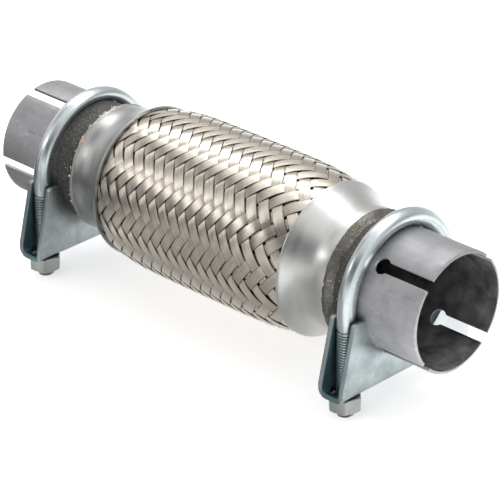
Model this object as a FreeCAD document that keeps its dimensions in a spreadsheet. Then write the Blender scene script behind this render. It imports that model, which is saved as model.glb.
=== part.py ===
import FreeCAD, Part
import math
import os
import Mesh
import Sketcher
from FreeCAD import Placement, Rotation, Vector

# Exhaust flex pipe: a braided coupling with a slotted sleeve and a U-bolt clamp at each end.
# X runs along the pipe, Z is up, the floor (Z = 0) is at the ends of the clamp bolts.
# Every body is drawn about the pipe axis. The left-hand pieces are the right-hand ones
# turned half a turn about Z.

doc = FreeCAD.newDocument("exhaust_flex_pipe")
sheet = doc.addObject("Spreadsheet::Sheet", "Sizes")

SIZES = [
    ("axis_height", 49.0, "pipe axis above the floor"),
    ("half_length", 125.3, "middle of the coupling to the mouth of a sleeve"),
    ("sleeve_radius", 27.0, "outside of the sleeve"),
    ("sleeve_wall", 1.5, "sheet of the sleeve"),
    ("sleeve_overlap", 14.0, "sleeve inside the neck of the cap"),
    ("mouth_chamfer", 0.4, "broken edge at the mouth"),
    ("slot_width", 4.7, "saw cut in the sleeve"),
    ("keyhole_radius", 3.65, "round end of a slot"),
    ("keyhole_depth", 25.3, "mouth to the centre of the round end"),
    ("right_cut_first", 134.0, "direction of the first through cut, right sleeve"),
    ("right_cut_second", 44.0, "direction of the second through cut, right sleeve"),
    ("left_cut_first", 71.0, "direction of the first through cut, left sleeve"),
    ("left_cut_second", 172.5, "direction of the second through cut, left sleeve"),
    ("cap_rim", 55.1, "rim of the end cap, from the middle"),
    ("cap_length", 21.2, "rim to the end of the cap's neck"),
    ("cap_wall", 1.2, "sheet of the cap"),
    ("shoulder_radius", 3.0, "outer bend of the cap"),
    ("hollow_radius", 24.2, "inner bend of the cap"),
    ("flare_angle", 38.0, "steepest slope of the cap"),
    ("bead_length", 4.6, "weld bead along the sleeve"),
    ("bead_rise", 0.35, "weld bead above the neck"),
    ("ring_wall", 1.05, "wall of the support ring, between sleeve and neck"),
    ("ring_reach", 5.1, "support ring inward from the rim of the cap"),
    ("liner_gap", 0.5, "end of the liner to the end of the sleeve"),
    ("liner_wall", 1.9, "height of the wound strip"),
    ("liner_pitch", 7.5, "one turn of the wound strip"),
    ("liner_step", 0.6, "depth of the folds of the strip"),
    ("liner_turns", 14, "folds that show on the liner"),
    ("bellows_wall", 0.5, "sheet of the bellows, both plies"),
    ("bellows_pitch", 7.2, "one fold of the bellows"),
    ("bellows_folds", 13, "folds of the bellows"),
    ("bellows_rise", 4.6, "height of a fold above the cuffs"),
    ("bellows_cuff", 6.0, "cuff that sits on the support ring"),
    ("bellows_flat", 1.9, "flat on top of a fold"),
    ("bellows_foot", 3.4, "width of a fold at its foot"),
    ("braid_belly", 2.3, "middle of the braid above the rim of the cap"),
    ("braid_wall", 2.0, "thickness of the braid"),
    ("braid_groove", 0.55, "depth between two ribbons"),
    ("braid_bevel", 0.14, "share of a ribbon's width that slopes down"),
    ("braid_bulge", 5.0, "how late the barrel falls off, as a power"),
    ("braid_ribbons", 24, "ribbons in each direction, an even number"),
    ("braid_steps", 17, "half ribbon spacings from the middle to the cap"),
    ("braid_stretch", 0.07, "how much looser the weave is at its ends"),
    ("braid_turn", 27.0, "turn of the whole weave about the axis"),
    ("left_clamp_gap", 5.8, "left clamp clear of the weld"),
    ("right_clamp_gap", 3.8, "right clamp clear of the weld"),
    ("rod_radius", 4.0, "bolt rod, M8"),
    ("rod_chamfer", 1.0, "chamfer at the bolt ends"),
    ("saddle_width", 14.0, "outside of the channel"),
    ("saddle_sheet", 2.4, "sheet of the saddle"),
    ("saddle_round", 4.2, "outer bend of the channel"),
    ("ear_drop", 3.6, "top of the ears below the pipe axis"),
    ("ear_width", 6.0, "ears outward from the sleeve"),
    ("ear_round", 1.8, "rounded corners of the ears"),
    ("foot_edge", 2.0, "metal beyond the bolt hole"),
    ("foot_drop", 32.5, "depth where the foot turns straight down"),
    ("bolt_slot_width", 8.8, "bolt hole in the saddle"),
    ("bolt_slot_travel", 2.6, "how far the bolt hole is drawn out"),
    ("nut_flats", 13.0, "nut across the flats, M8"),
    ("nut_height", 6.5, "nut, M8"),
    ("nut_chamfer", 0.9, "chamfer round the nut's corners"),
    ("nut_stand", 3.7, "bolt end below the nut"),
    ("near_nut_turn", 15.0, "turn of the near nuts"),
    ("far_nut_turn", 38.0, "turn of the far nuts"),
]

for row, (alias, value, note) in enumerate(SIZES, start=1):
    sheet.set("A%d" % row, alias)
    sheet.set("B%d" % row, str(value))
    sheet.set("C%d" % row, note)
    sheet.setAlias("B%d" % row, alias)
doc.recompute()

# Lengths that follow from the sheet and are needed by more than one piece.
BORE = "(Sizes.sleeve_radius - Sizes.sleeve_wall)"
CAP_END = "(Sizes.cap_rim + Sizes.cap_length)"
SLEEVE_START = "(%s - Sizes.sleeve_overlap)" % CAP_END
RING_START = "(Sizes.cap_rim - Sizes.ring_reach)"
LINER_END = "(%s - Sizes.liner_gap)" % SLEEVE_START
NECK_BORE = "(Sizes.sleeve_radius + Sizes.ring_wall)"
NECK = "(%s + Sizes.cap_wall)" % NECK_BORE
BENDS = "(Sizes.shoulder_radius + Sizes.hollow_radius)"
CAP_RADIUS = "(%s + %s * (1 - cos(Sizes.flare_angle * 1deg)))" % (NECK, BENDS)
BEND_X = "(Sizes.cap_rim + Sizes.shoulder_radius * sin(Sizes.flare_angle * 1deg))"
BEND_R = "(%s - Sizes.shoulder_radius * (1 - cos(Sizes.flare_angle * 1deg)))" % CAP_RADIUS
NECK_X = "(Sizes.cap_rim + %s * sin(Sizes.flare_angle * 1deg))" % BENDS
CREST = "(%s + Sizes.bellows_wall + Sizes.bellows_rise)" % NECK_BORE
LEG = "(Sizes.sleeve_radius + Sizes.rod_radius)"
EAR = "(Sizes.sleeve_radius + Sizes.ear_width)"
FOOT = "(%s + Sizes.bolt_slot_travel + Sizes.bolt_slot_width / 2 + Sizes.foot_edge)" % LEG
NUT_TOP = "(Sizes.axis_height - Sizes.nut_stand - Sizes.nut_height)"
CLAMP = {side: "(%s + Sizes.bead_length + Sizes.%s_clamp_gap + Sizes.saddle_width / 2)" % (CAP_END, side)
         for side in ("left", "right")}


def value(expression):
    """The number that an expression on the sheet gives now."""
    result = sheet.evalExpression(expression)
    return float(getattr(result, "Value", result))


def origin_plane(body, role):
    """One of the body's own origin planes."""
    for feature in body.Origin.OriginFeatures:
        if feature.Role == role:
            return feature
    raise ValueError("no plane " + role)


def new_body(label, base_x="0", half_turn=False):
    """A body on the pipe axis, at base_x along it, turned half a turn for the left side."""
    body = doc.addObject("PartDesign::Body", label)
    body.Label = label
    turn = Rotation(Vector(0, 0, 1), 180 if half_turn else 0)
    body.Placement = Placement(Vector(value(base_x), 0, value("Sizes.axis_height")), turn)
    if base_x != "0":
        body.setExpression("Placement.Base.x", base_x)
    body.setExpression("Placement.Base.z", "Sizes.axis_height")
    return body


def new_sketch(body, name, role, offset=None, turn=None):
    """A sketch on an origin plane, moved along its normal or turned about the plane's X."""
    sketch = body.newObject("Sketcher::SketchObject", name)
    sketch.AttachmentSupport = [(origin_plane(body, role), "")]
    sketch.MapMode = "FlatFace"
    if offset is not None:
        sketch.AttachmentOffset = Placement(Vector(0, 0, value(offset)), Rotation())
        sketch.setExpression("AttachmentOffset.Base.z", offset)
    if turn is not None:
        sketch.AttachmentOffset = Placement(Vector(0, 0, 0), Rotation(Vector(1, 0, 0), value(turn)))
        sketch.setExpression("AttachmentOffset.Rotation.Axis.x", "1")
        sketch.setExpression("AttachmentOffset.Rotation.Axis.z", "0")
        sketch.setExpression("AttachmentOffset.Rotation.Angle", turn)
    return sketch


def pin(sketch, geometry, point, axis, expression):
    """Holds one coordinate of a point at an expression, or on the axis when that is zero."""
    if expression == "0":
        line = -2 if axis == "DistanceX" else -1
        sketch.addConstraint(Sketcher.Constraint("PointOnObject", geometry, point, line))
        return
    number = sketch.addConstraint(
        Sketcher.Constraint(axis, -1, 1, geometry, point, value(expression)))
    sketch.setExpression("Constraints[%d]" % number, expression)


def draw_circle(sketch, across, up, radius):
    """A circle with its centre and radius bound to expressions."""
    middle = Vector(value(across), value(up), 0)
    number = sketch.addGeometry(Part.Circle(middle, Vector(0, 0, 1), value(radius)))
    pin(sketch, number, 3, "DistanceX", across)
    pin(sketch, number, 3, "DistanceY", up)
    size = sketch.addConstraint(Sketcher.Constraint("Radius", number, value(radius)))
    sketch.setExpression("Constraints[%d]" % size, radius)


def draw_outline(sketch, corners, arcs=None):
    """A closed outline through corners given as pairs of expressions.

    arcs maps the number of a segment's first corner to (radius, side): the segment is then
    an arc whose centre lies to the left (1) or to the right (-1) of the way it is drawn.
    A half circle also names the height of its centre, which then fixes it.
    """
    arcs = arcs or {}
    points = [Vector(value(across), value(up), 0) for across, up in corners]
    count = len(points)
    starts, ends = [], []
    for index in range(count):
        here, there = points[index], points[(index + 1) % count]
        if index not in arcs:
            number = sketch.addGeometry(Part.LineSegment(here, there))
            starts.append((number, 1))
            ends.append((number, 2))
            continue
        radius, side = value(arcs[index][0]), arcs[index][1]
        chord = there - here
        rise = math.sqrt(max(radius * radius - chord.Length ** 2 / 4.0, 0.0))
        left = Vector(-chord.y, chord.x, 0)
        left.normalize()
        middle = (here + there) * 0.5 + left * (rise * side)
        first, last = (here, there) if side > 0 else (there, here)
        arc = Part.ArcOfCircle(
            Part.Circle(middle, Vector(0, 0, 1), radius),
            math.atan2(first.y - middle.y, first.x - middle.x),
            math.atan2(last.y - middle.y, last.x - middle.x))
        number = sketch.addGeometry(arc)
        starts.append((number, 1 if side > 0 else 2))
        ends.append((number, 2 if side > 0 else 1))
    for index in range(count):
        following = starts[(index + 1) % count]
        sketch.addConstraint(Sketcher.Constraint("Coincident", *ends[index], *following))
    for index, (across, up) in enumerate(corners):
        pin(sketch, *starts[index], "DistanceX", across)
        pin(sketch, *starts[index], "DistanceY", up)
    for index, arc in arcs.items():
        if len(arc) == 3:
            pin(sketch, starts[index][0], 3, "DistanceY", arc[2])
            continue
        size = sketch.addConstraint(
            Sketcher.Constraint("Radius", starts[index][0], value(arc[0])))
        sketch.setExpression("Constraints[%d]" % size, arc[0])


def revolve(body, name, sketch):
    """A full turn of a sketch on the XY plane about the pipe axis."""
    feature = body.newObject("PartDesign::Revolution", name)
    feature.Profile = sketch
    feature.ReferenceAxis = (sketch, ["H_Axis"])
    feature.Angle = 360
    body.Tip = feature
    doc.recompute()
    return feature


def pad(body, name, sketch, length, symmetric=False):
    """A pad whose length is bound to an expression."""
    feature = body.newObject("PartDesign::Pad", name)
    feature.Profile = sketch
    feature.setExpression("Length", length)
    if symmetric:
        feature.SideType = "Symmetric"
    body.Tip = feature
    doc.recompute()
    return feature


def cut_through(body, name, sketch):
    """A pocket through the whole body, both ways from its sketch. It has to remove metal."""
    before = body.Shape.Volume
    feature = body.newObject("PartDesign::Pocket", name)
    feature.Profile = sketch
    feature.SideType = "Symmetric"
    feature.Type = "ThroughAll"
    body.Tip = feature
    doc.recompute()
    if feature.Shape.Volume > before - 0.5:
        raise ValueError(name + " cuts nothing")
    return feature


def circle_edges(shape, radius, place):
    """Names of the full or part circles of a radius whose centres satisfy a test."""
    names = []
    for number, edge in enumerate(shape.Edges, start=1):
        curve = edge.Curve
        if isinstance(curve, Part.Circle) and abs(curve.Radius - radius) < 0.01 and place(curve.Center):
            names.append("Edge%d" % number)
    return names


# Sleeves: a tube with a broken edge at the mouth and two through cuts with round ends.

def build_sleeve(side):
    half_turn = side == "left"
    body = new_body("sleeve_" + side, half_turn=half_turn)
    ring = new_sketch(body, "tube_ring_" + side, "YZ_Plane", offset=SLEEVE_START)
    draw_circle(ring, "0", "0", "Sizes.sleeve_radius")
    draw_circle(ring, "0", "0", BORE)
    tube = pad(body, "tube_" + side, ring, "Sizes.half_length - %s" % SLEEVE_START)
    mouth = value("Sizes.half_length")
    edges = circle_edges(tube.Shape, value("Sizes.sleeve_radius"), lambda spot: abs(spot.x - mouth) < 0.01)
    broken = body.newObject("PartDesign::Chamfer", "mouth_edge_" + side)
    broken.Base = (tube, edges)
    broken.setExpression("Size", "Sizes.mouth_chamfer")
    body.Tip = broken
    doc.recompute()
    centre = "Sizes.half_length - Sizes.keyhole_depth"
    for order in ("first", "second"):
        turn = "Sizes.%s_cut_%s - 90" % (side, order)
        slot = new_sketch(body, "slot_%s_%s" % (order, side), "XY_Plane", turn=turn)
        draw_outline(slot, [
            (centre, "-Sizes.slot_width / 2"),
            ("Sizes.half_length + Sizes.slot_width", "-Sizes.slot_width / 2"),
            ("Sizes.half_length + Sizes.slot_width", "Sizes.slot_width / 2"),
            (centre, "Sizes.slot_width / 2"),
        ])
        cut_through(body, "slot_cut_%s_%s" % (order, side), slot)
        hole = new_sketch(body, "keyhole_%s_%s" % (order, side), "XY_Plane", turn=turn)
        draw_circle(hole, centre, "0", "Sizes.keyhole_radius")
        cut_through(body, "keyhole_cut_%s_%s" % (order, side), hole)
    return body


# End caps: stamped bells. Two opposite bends give the shoulder and the hollow, the neck
# follows straight on.

def build_cap(side):
    body = new_body("end_cap_" + side, half_turn=side == "left")
    sketch = new_sketch(body, "cap_section_" + side, "XY_Plane")
    wall = "Sizes.cap_wall"
    slope_x = "%s * sin(Sizes.flare_angle * 1deg)" % wall
    slope_r = "%s * cos(Sizes.flare_angle * 1deg)" % wall
    draw_outline(sketch, [
        ("Sizes.cap_rim", CAP_RADIUS),
        (BEND_X, BEND_R),
        (NECK_X, NECK),
        (CAP_END, NECK),
        (CAP_END, NECK_BORE),
        (NECK_X, NECK_BORE),
        ("%s - %s" % (BEND_X, slope_x), "%s - %s" % (BEND_R, slope_r)),
        ("Sizes.cap_rim", "%s - Sizes.cap_wall" % CAP_RADIUS),
    ], {
        0: ("Sizes.shoulder_radius", -1),
        1: ("Sizes.hollow_radius", 1),
        5: ("Sizes.hollow_radius + Sizes.cap_wall", -1),
        6: ("Sizes.shoulder_radius - Sizes.cap_wall", 1),
    })
    revolve(body, "cap_bell_" + side, sketch)
    return body


# Weld beads: they close the step from the neck and the ring down to the sleeve.

def build_bead(side):
    body = new_body("weld_bead_" + side, half_turn=side == "left")
    sketch = new_sketch(body, "bead_section_" + side, "XY_Plane")
    draw_outline(sketch, [
        (CAP_END, "Sizes.sleeve_radius"),
        ("%s + Sizes.bead_length" % CAP_END, "Sizes.sleeve_radius"),
        ("%s + Sizes.bead_length * 0.3" % CAP_END, "%s + Sizes.bead_rise" % NECK),
        (CAP_END, NECK),
    ], {1: ("Sizes.bead_length", 1)})
    revolve(body, "bead_" + side, sketch)
    return body


# Support rings: they fill the neck between cap and sleeve and carry the liner.

def build_ring(side):
    turn = Rotation(Vector(0, 1, 0), 90 if side == "right" else -90)
    sign = "" if side == "right" else "-"
    tubes = []
    for name, radius in (("ring_stock_", NECK_BORE), ("ring_hole_", "Sizes.sleeve_radius")):
        tube = doc.addObject("Part::Cylinder", name + side)
        tube.setExpression("Radius", radius)
        tube.setExpression("Height", "%s - %s" % (CAP_END, RING_START))
        tube.Placement = Placement(Vector(0, 0, 0), turn)
        tube.setExpression("Placement.Base.x", sign + RING_START)
        tube.setExpression("Placement.Base.z", "Sizes.axis_height")
        tubes.append(tube)
    ring = doc.addObject("Part::Cut", "inner_ring_" + side)
    ring.Base, ring.Tool = tubes
    ring.Label = "inner_ring_" + side
    doc.recompute()
    return ring


# Liner: a strip-wound tube. Folds are grooves repeated along the pipe, outside and inside.

def build_liner():
    body = new_body("inner_liner")
    inside = "(Sizes.sleeve_radius - Sizes.liner_wall)"
    sketch = new_sketch(body, "liner_section", "XY_Plane")
    draw_outline(sketch, [
        ("-" + LINER_END, inside),
        (LINER_END, inside),
        (LINER_END, "Sizes.sleeve_radius"),
        ("-" + LINER_END, "Sizes.sleeve_radius"),
    ])
    revolve(body, "liner_tube", sketch)
    first = "-(Sizes.liner_turns - 1) * Sizes.liner_pitch / 2"
    half = "Sizes.liner_pitch / 4"
    for name, low, high, shift in (
            ("outer", "Sizes.sleeve_radius - Sizes.liner_step", "Sizes.sleeve_radius + 1", "0"),
            ("inner", "%s - 1" % inside, "%s + Sizes.liner_step" % inside, "Sizes.liner_pitch / 2")):
        fold = new_sketch(body, "liner_fold_" + name, "XY_Plane")
        draw_outline(fold, [
            ("%s + %s - %s" % (first, shift, half), low),
            ("%s + %s + %s" % (first, shift, half), low),
            ("%s + %s + %s" % (first, shift, half), high),
            ("%s + %s - %s" % (first, shift, half), high),
        ])
        groove = body.newObject("PartDesign::Groove", "liner_groove_" + name)
        groove.Profile = fold
        groove.ReferenceAxis = (fold, ["H_Axis"])
        groove.Angle = 360
        body.Tip = groove
        doc.recompute()
        repeat(body, "liner_folds_" + name, groove, fold, "Sizes.liner_pitch",
               "Sizes.liner_turns" if name == "outer" else "Sizes.liner_turns - 1")
    return body


def repeat(body, name, feature, sketch, pitch, count):
    """Copies of a feature along the pipe, one pitch apart."""
    pattern = body.newObject("PartDesign::LinearPattern", name)
    pattern.Originals = [feature]
    pattern.Direction = (sketch, ["H_Axis"])
    pattern.Mode = "Spacing"
    pattern.setExpression("Offset", pitch)
    pattern.setExpression("Occurrences", count)
    body.Tip = pattern
    doc.recompute()
    return pattern


# Bellows: one fold, repeated, between two plain cuffs that sit on the support rings.

def build_bellows():
    body = new_body("bellows")
    wall = "Sizes.bellows_wall"
    root = "(%s + Sizes.bellows_wall)" % NECK_BORE
    pitch = "Sizes.bellows_pitch"
    first = "(-(Sizes.bellows_folds - 1) * Sizes.bellows_pitch / 2)"
    top = "Sizes.bellows_flat / 2"
    foot = "Sizes.bellows_foot / 2"
    fold = new_sketch(body, "fold_section", "XY_Plane")
    draw_outline(fold, [
        ("%s - %s / 2" % (first, pitch), NECK_BORE),
        ("%s - %s + %s" % (first, foot, wall), NECK_BORE),
        ("%s - %s + %s" % (first, top, wall), "%s - %s" % (CREST, wall)),
        ("%s + %s - %s" % (first, top, wall), "%s - %s" % (CREST, wall)),
        ("%s + %s - %s" % (first, foot, wall), NECK_BORE),
        ("%s + %s / 2" % (first, pitch), NECK_BORE),
        ("%s + %s / 2" % (first, pitch), root),
        ("%s + %s" % (first, foot), root),
        ("%s + %s" % (first, top), CREST),
        ("%s - %s" % (first, top), CREST),
        ("%s - %s" % (first, foot), root),
        ("%s - %s / 2" % (first, pitch), root),
    ])
    one = revolve(body, "fold", fold)
    repeat(body, "folds", one, fold, pitch, "Sizes.bellows_folds")
    half = "(Sizes.bellows_folds * Sizes.bellows_pitch / 2)"
    cuff_end = "(%s + Sizes.bellows_cuff)" % RING_START
    for name, near, far in (("left", "-" + cuff_end, "-" + half), ("right", half, cuff_end)):
        cuff = new_sketch(body, "cuff_section_" + name, "XY_Plane")
        draw_outline(cuff, [(near, NECK_BORE), (far, NECK_BORE), (far, root), (near, root)])
        revolve(body, "cuff_" + name, cuff)
    return body


# Braid: a barrel wall with a two-over, two-under weave of flat ribbons in its outer face.
# The weave is laid out on a grid of columns round the pipe and steps along it. A point of
# the grid is a corner between four ribbons where column + step is odd, and the middle of a
# crossing where it is even. Each float is a ribbon that lies over two crossings: a hexagon
# of corner points in the groove with a raised, bevelled top.

class Weave:
    def __init__(self):
        self.columns = 2 * int(value("Sizes.braid_ribbons"))
        self.steps = int(value("Sizes.braid_steps"))
        self.end = value("Sizes.cap_rim")
        self.lip = value("%s - Sizes.cap_wall" % CAP_RADIUS)
        self.middle = value("%s + Sizes.braid_belly" % CAP_RADIUS)
        self.power = value("Sizes.braid_bulge")
        self.groove = value("Sizes.braid_groove")
        self.bevel = value("Sizes.braid_bevel")
        self.wall = value("Sizes.braid_wall")
        self.stretch = value("Sizes.braid_stretch")
        self.turn = value("Sizes.braid_turn")
        self.facets = []

    def along(self, step):
        """Distance from the middle at a step; the weave is looser towards its ends."""
        part = step / self.steps
        return self.end * (part + self.stretch * (part ** 3 - part))

    def radius(self, distance):
        """Barrel radius at the tops of the ribbons."""
        part = min(abs(distance) / self.end, 1.0)
        return self.middle - (self.middle - self.lip) * part ** self.power

    def point(self, column, step, sink):
        """Point of the grid, sunk below the tops of the ribbons."""
        distance = self.along(step)
        angle = math.radians(self.turn + 360.0 * column / self.columns)
        radius = self.radius(distance) - sink
        return Vector(distance, radius * math.cos(angle), radius * math.sin(angle))

    def corner(self, column, step):
        """Corner between four ribbons: down in the groove, level with the lip at the ends."""
        sink = 0.0 if abs(step) == self.steps else self.groove
        return self.point(column % self.columns, step, sink)

    def add(self, *points):
        """A facet fan from its first point."""
        for index in range(1, len(points) - 1):
            self.facets.append((points[0], points[index], points[index + 1]))

    def float_over(self, column, step, lean):
        """One float from the crossing (column, step) to (column + 1, step + lean)."""
        hexagon = [(column - 1, step), (column, step - lean), (column + 1, step),
                   (column + 2, step + lean), (column + 1, step + 2 * lean), (column, step + lean)]
        if any(abs(spot[1]) > self.steps for spot in hexagon):
            return False
        across, inner = 2 * self.bevel, self.bevel
        top = []
        for order, (spot_column, spot_step) in enumerate(hexagon):
            # Ends are pulled in along the ribbon, sides across it.
            end = {0: 1, 1: 1, 3: -1, 4: -1}.get(order, 0)
            side = 1 if order in (1, 2, 3) else -1
            shift_column = end * inner - side * inner
            shift_step = lean * (end * inner + side * inner)
            if order in (0, 1, 3, 4):
                shift_column += end * (across - inner) * 0.5
                shift_step += lean * end * (across - inner) * 0.5
            top.append(self.point(spot_column + shift_column, spot_step + shift_step, 0.0))
        rim = [self.corner(*spot) for spot in hexagon]
        order = range(6) if lean < 0 else range(5, -1, -1)
        ring = list(order)
        for index in range(6):
            here, there = ring[index], ring[(index + 1) % 6]
            self.add(rim[here], rim[there], top[there], top[here])
        for quad in ((0, 1, 2, 5), (5, 2, 3, 4)):
            corners = [top[index] for index in quad]
            self.add(*(corners if lean < 0 else corners[::-1]))
        return True

    def crossing(self, column, step):
        """A crossing that is cut off by the cap: a low pyramid, or half of one at the rim."""
        peak = self.point(column, step, 0.0)
        rim = [self.corner(column - 1, step), None, self.corner(column + 1, step), None]
        if step > -self.steps:
            rim[1] = self.corner(column, step - 1)
        if step < self.steps:
            rim[3] = self.corner(column, step + 1)
        for index in range(4):
            here, there = rim[index], rim[(index + 1) % 4]
            if here is not None and there is not None:
                self.add(peak, there, here)

    def outer_face(self):
        done = set()
        for column in range(self.columns):
            for step in range(-self.steps, self.steps + 1):
                if (column + step) % 2:
                    continue
                kind = column % 4
                if kind in (0, 2):
                    lean = -1 if kind == 0 else 1
                    if self.float_over(column, step, lean):
                        done.add((column, step))
                        done.add(((column + 1) % self.columns, step + lean))
        for column in range(self.columns):
            for step in range(-self.steps, self.steps + 1):
                if (column + step) % 2 == 0 and (column, step) not in done:
                    self.crossing(column, step)

    def rings(self, side):
        """Rings from the rim of the cap over the tucked-in end to the wall's inner face."""
        bend = value("Sizes.shoulder_radius - Sizes.cap_wall")
        centre = value("%s - Sizes.shoulder_radius" % CAP_RADIUS)
        shallow = math.acos(max(1 - self.wall / (2 * bend), -1))
        slope = min(math.radians(value("Sizes.flare_angle")), shallow)
        inside = self.lip - self.wall
        result = [(side * self.end, self.lip)]
        for part in (0.35, 0.7, 1.0):
            angle = slope * part
            result.append((side * (self.end + bend * math.sin(angle)), centre + bend * math.cos(angle)))
        result.append((side * (self.end + bend * math.sin(slope)), inside))
        result.append((side * self.end, inside))
        return result

    def band(self, first, second, flip):
        """Facets between two rings, each given as (distance, radius)."""
        for column in range(self.columns):
            corners = []
            for distance, radius, shift in (first + (0,), first + (1,), second + (1,), second + (0,)):
                angle = math.radians(self.turn + 360.0 * ((column + shift) % self.columns) / self.columns)
                corners.append(Vector(distance, radius * math.cos(angle), radius * math.sin(angle)))
            self.add(*(corners[::-1] if flip else corners))

    def solid(self):
        self.outer_face()
        for side in (-1, 1):
            rings = self.rings(side)
            for first, second in zip(rings, rings[1:]):
                self.band(first, second, flip=side < 0)
        inner = []
        for part in range(-6, 7):
            distance = self.end * part / 6.0
            inner.append((distance, self.radius(distance) - self.wall))
        for first, second in zip(inner, inner[1:]):
            self.band(first, second, flip=True)
        mesh = Mesh.Mesh([[tuple(point) for point in facet] for facet in self.facets])
        shape = Part.Shape()
        shape.makeShapeFromMesh(mesh.Topology, 0.001)
        return Part.makeSolid(shape)


def build_braid():
    feature = doc.addObject("Part::Feature", "outer_braid")
    feature.Label = "outer_braid"
    feature.Shape = Weave().solid()
    feature.Placement = Placement(Vector(0, 0, value("Sizes.axis_height")), Rotation())
    feature.setExpression("Placement.Base.z", "Sizes.axis_height")
    return feature


# Clamps. Their bodies have their origin on the pipe axis in the plane of the U-bolt.

def clamp_body(label, side):
    sign = "" if side == "right" else "-"
    return new_body(label, sign + CLAMP[side], half_turn=side == "left")


def build_ubolt(side):
    body = clamp_body("ubolt_" + side, side)
    path = new_sketch(body, "bolt_path_" + side, "YZ_Plane")
    leg, drop = value(LEG), value("Sizes.axis_height")
    arc = path.addGeometry(Part.ArcOfCircle(Part.Circle(Vector(0, 0, 0), Vector(0, 0, 1), leg), 0, math.pi))
    right = path.addGeometry(Part.LineSegment(Vector(leg, -drop, 0), Vector(leg, 0, 0)))
    left = path.addGeometry(Part.LineSegment(Vector(-leg, 0, 0), Vector(-leg, -drop, 0)))
    path.addConstraint(Sketcher.Constraint("Coincident", arc, 3, -1, 1))
    path.addConstraint(Sketcher.Constraint("Coincident", right, 2, arc, 1))
    path.addConstraint(Sketcher.Constraint("Coincident", arc, 2, left, 1))
    path.addConstraint(Sketcher.Constraint("PointOnObject", arc, 1, -1))
    path.addConstraint(Sketcher.Constraint("PointOnObject", arc, 2, -1))
    path.addConstraint(Sketcher.Constraint("Vertical", right))
    path.addConstraint(Sketcher.Constraint("Vertical", left))
    size = path.addConstraint(Sketcher.Constraint("Radius", arc, leg))
    path.setExpression("Constraints[%d]" % size, LEG)
    for line, point in ((right, 1), (left, 2)):
        pin(path, line, point, "DistanceY", "-Sizes.axis_height")
    section = new_sketch(body, "bolt_section_" + side, "XY_Plane", offset="-Sizes.axis_height")
    draw_circle(section, "0", LEG, "Sizes.rod_radius")
    rod = body.newObject("PartDesign::AdditivePipe", "bolt_rod_" + side)
    rod.Profile = section
    rod.Spine = (path, ["Edge2", "Edge1", "Edge3"])
    body.Tip = rod
    doc.recompute()
    edges = circle_edges(rod.Shape, value("Sizes.rod_radius"), lambda spot: abs(spot.z + drop) < 0.01)
    ends = body.newObject("PartDesign::Chamfer", "bolt_ends_" + side)
    ends.Base = (rod, edges)
    ends.setExpression("Size", "Sizes.rod_chamfer")
    body.Tip = ends
    doc.recompute()
    return body


# Saddles: the side outline is padded to the full width, the channel is cut out of it
# lengthwise, the long lower edges are rounded and the bolt holes go through the web.

def build_saddle(side):
    body = clamp_body("saddle_" + side, side)
    bottom = "-%s" % NUT_TOP
    ear = "-Sizes.ear_drop"
    seat = "sqrt(Sizes.sleeve_radius ^ 2 - Sizes.ear_drop ^ 2)"
    outline = new_sketch(body, "saddle_outline_" + side, "YZ_Plane")
    draw_outline(outline, [
        ("-" + seat, ear),
        (seat, ear),
        (EAR, ear),
        (FOOT, "-Sizes.foot_drop"),
        (FOOT, bottom),
        ("-" + FOOT, bottom),
        ("-" + FOOT, "-Sizes.foot_drop"),
        ("-" + EAR, ear),
    ], {0: ("Sizes.sleeve_radius", 1)})
    block = pad(body, "saddle_block_" + side, outline, "Sizes.saddle_width", symmetric=True)
    half = "Sizes.saddle_width / 2"
    gap = "(Sizes.saddle_width / 2 - Sizes.saddle_sheet)"
    bend = "(Sizes.saddle_round - Sizes.saddle_sheet)"
    web = "(%s + Sizes.saddle_sheet)" % bottom
    channel = new_sketch(body, "channel_section_" + side, "XZ_Plane")
    draw_outline(channel, [
        ("-(%s - %s)" % (gap, bend), web),
        ("%s - %s" % (gap, bend), web),
        (gap, "%s + %s" % (web, bend)),
        (gap, "0"),
        ("-" + gap, "0"),
        ("-" + gap, "%s + %s" % (web, bend)),
    ], {1: (bend, 1), 5: (bend, 1)})
    hollow = cut_through(body, "channel_" + side, channel)
    lower = []
    for number, edge in enumerate(hollow.Shape.Edges, start=1):
        box = edge.BoundBox
        if box.ZMax < -value(NUT_TOP) + 0.01 and box.YLength > value(FOOT):
            lower.append("Edge%d" % number)
    rounded = body.newObject("PartDesign::Fillet", "channel_bends_" + side)
    rounded.Base = (hollow, lower)
    rounded.setExpression("Radius", "Sizes.saddle_round")
    body.Tip = rounded
    doc.recompute()
    corners = []
    for number, edge in enumerate(rounded.Shape.Edges, start=1):
        box = edge.BoundBox
        level = abs(box.ZMax + value("Sizes.ear_drop")) < 0.01 and box.ZLength < 0.01
        if level and box.XLength > 0.5 and box.YLength < 0.01:
            if abs(box.YMax) > value("Sizes.sleeve_radius"):
                corners.append("Edge%d" % number)
    ears = body.newObject("PartDesign::Fillet", "ear_corners_" + side)
    ears.Base = (rounded, corners)
    ears.setExpression("Radius", "Sizes.ear_round")
    body.Tip = ears
    doc.recompute()
    holes = new_sketch(body, "bolt_slots_" + side, "XY_Plane")
    half_slot = "Sizes.bolt_slot_width / 2"
    for sign in ("", "-"):
        inner = "%s(%s)" % (sign, LEG)
        outer = "%s(%s + Sizes.bolt_slot_travel)" % (sign, LEG)
        low, high = (inner, outer) if sign == "" else (outer, inner)
        draw_outline(holes, [
            ("-" + half_slot, low),
            (half_slot, low),
            (half_slot, high),
            ("-" + half_slot, high),
        ], {0: (half_slot, 1, low), 2: (half_slot, 1, high)})
    cut_through(body, "bolt_holes_" + side, holes)
    return body


# Nuts: a hexagon, its corners turned off above and below, with a plain hole for the bolt.

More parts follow.
